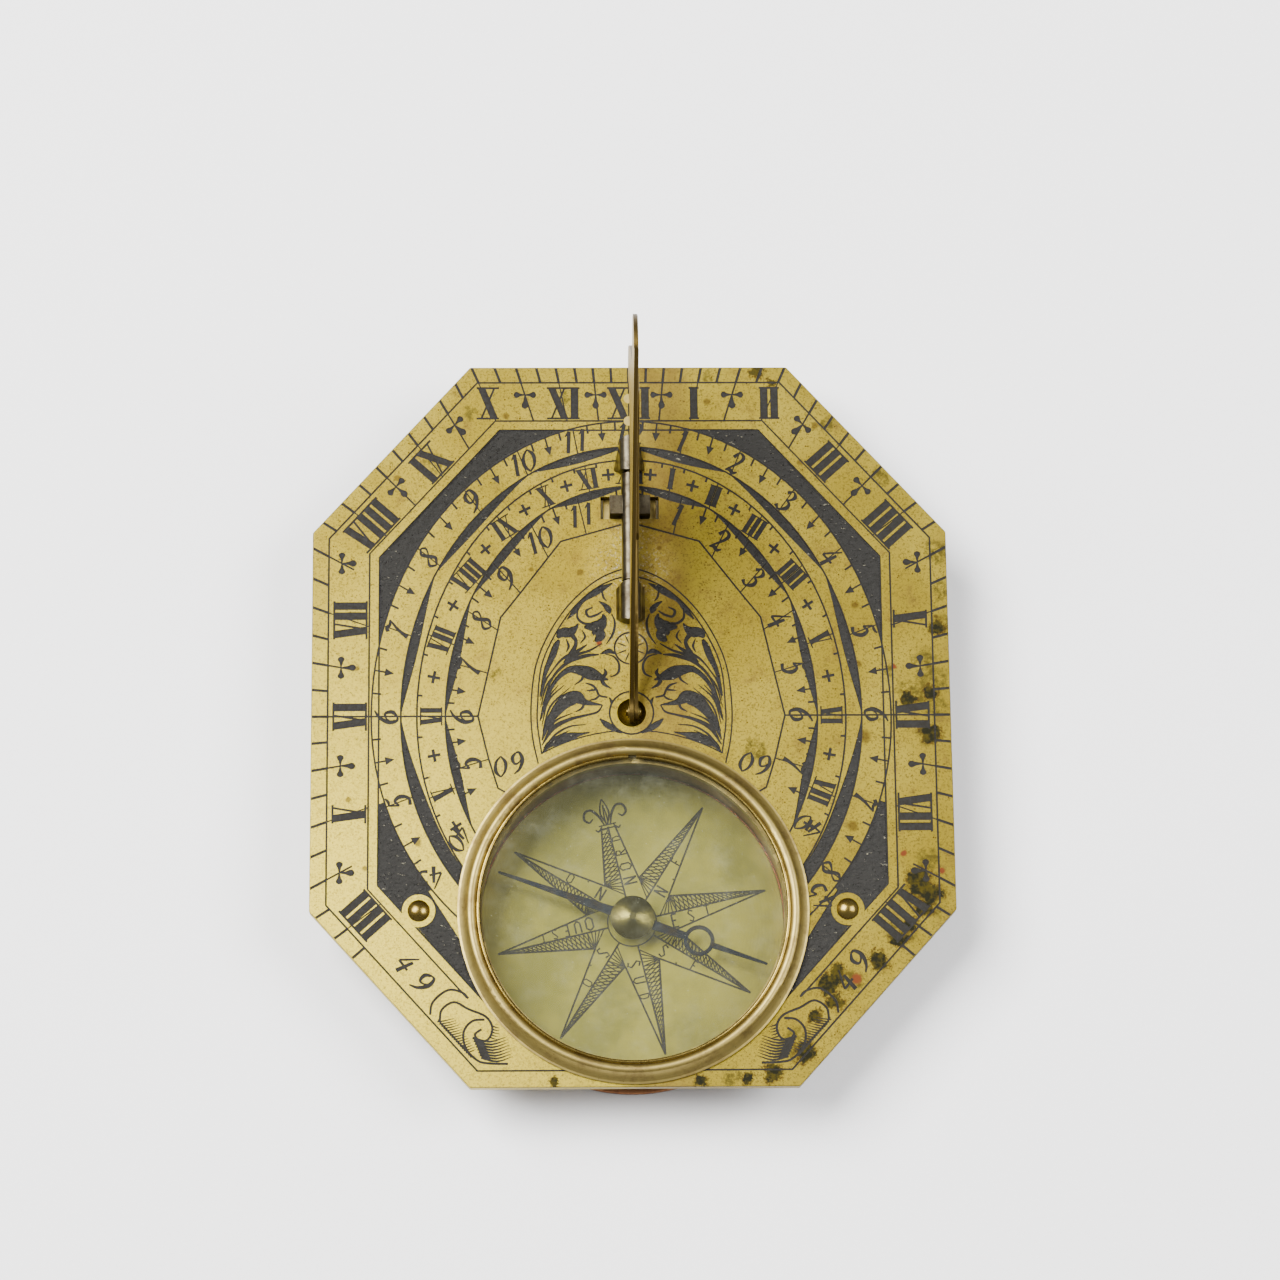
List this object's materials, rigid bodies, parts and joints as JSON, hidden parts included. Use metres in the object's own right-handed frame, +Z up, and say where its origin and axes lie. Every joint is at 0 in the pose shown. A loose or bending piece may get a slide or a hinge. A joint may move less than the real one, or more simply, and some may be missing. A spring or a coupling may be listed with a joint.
{
  "type": "pocket sundial",
  "caption": "Octagonal horizontal pocket sundial with a folding gnomon that sets to latitude and a glazed compass under the plate.",
  "frame": {"origin": "centre of the compass box's flat underside, on which the sundial stands", "axes": "+Z up from the dial plate, +Y to the dial's north (XII), +X to its east"},
  "size_m": [0.064, 0.0742, 0.0399],
  "materials": {
    "engraved_brass": "satin, engraved, aged",
    "brass": "satin, aged",
    "bright_brass": "polished by wear",
    "copper_brass": "dull, tarnished",
    "glass": "old, slightly green and dusty",
    "steel": "filed",
    "blued_steel": "blued"
  },
  "bodies": {
    "base": {"dial_plate": "engraved_brass", "box_floor": "copper_brass", "box_wall": "copper_brass", "box_flange": "brass", "box_pins": "bright_brass", "compass_card": "engraved_brass", "bezel_ring": "brass", "compass_glass": "glass", "glass_ring": "bright_brass", "needle_pivot": "steel", "knuckle_north": "steel", "knuckle_south": "steel", "hinge_pin": "steel", "fold_spring": "brass", "spring_rivets": "brass"},
    "gnomon_foot": {"fold_bar": "steel", "foot_plate": "brass", "style_rivet": "bright_brass", "style_washers": "brass"},
    "style": {"style_plate": "engraved_brass"},
    "needle": {"compass_needle": "blued_steel", "needle_cap": "brass"}
  },
  "joints": [
    {"name": "gnomon_fold", "type": "hinge", "parent": "base", "child": "gnomon_foot", "pos_m": [0, 0.0198, 0.0089], "axis": [0, -1, 0], "range_deg": [0, 90], "deforming": ["fold_spring"]},
    {"name": "style_tilt", "type": "hinge", "parent": "gnomon_foot", "child": "style", "pos_m": [0, 0.0201, 0.00835], "axis": [1, 0, 0], "range_deg": [-9, 11]},
    {"name": "needle_spin", "type": "hinge", "parent": "base", "child": "needle", "pos_m": [0, 0, 0.004], "axis": [0, 0, 1], "continuous": true}
  ]
}
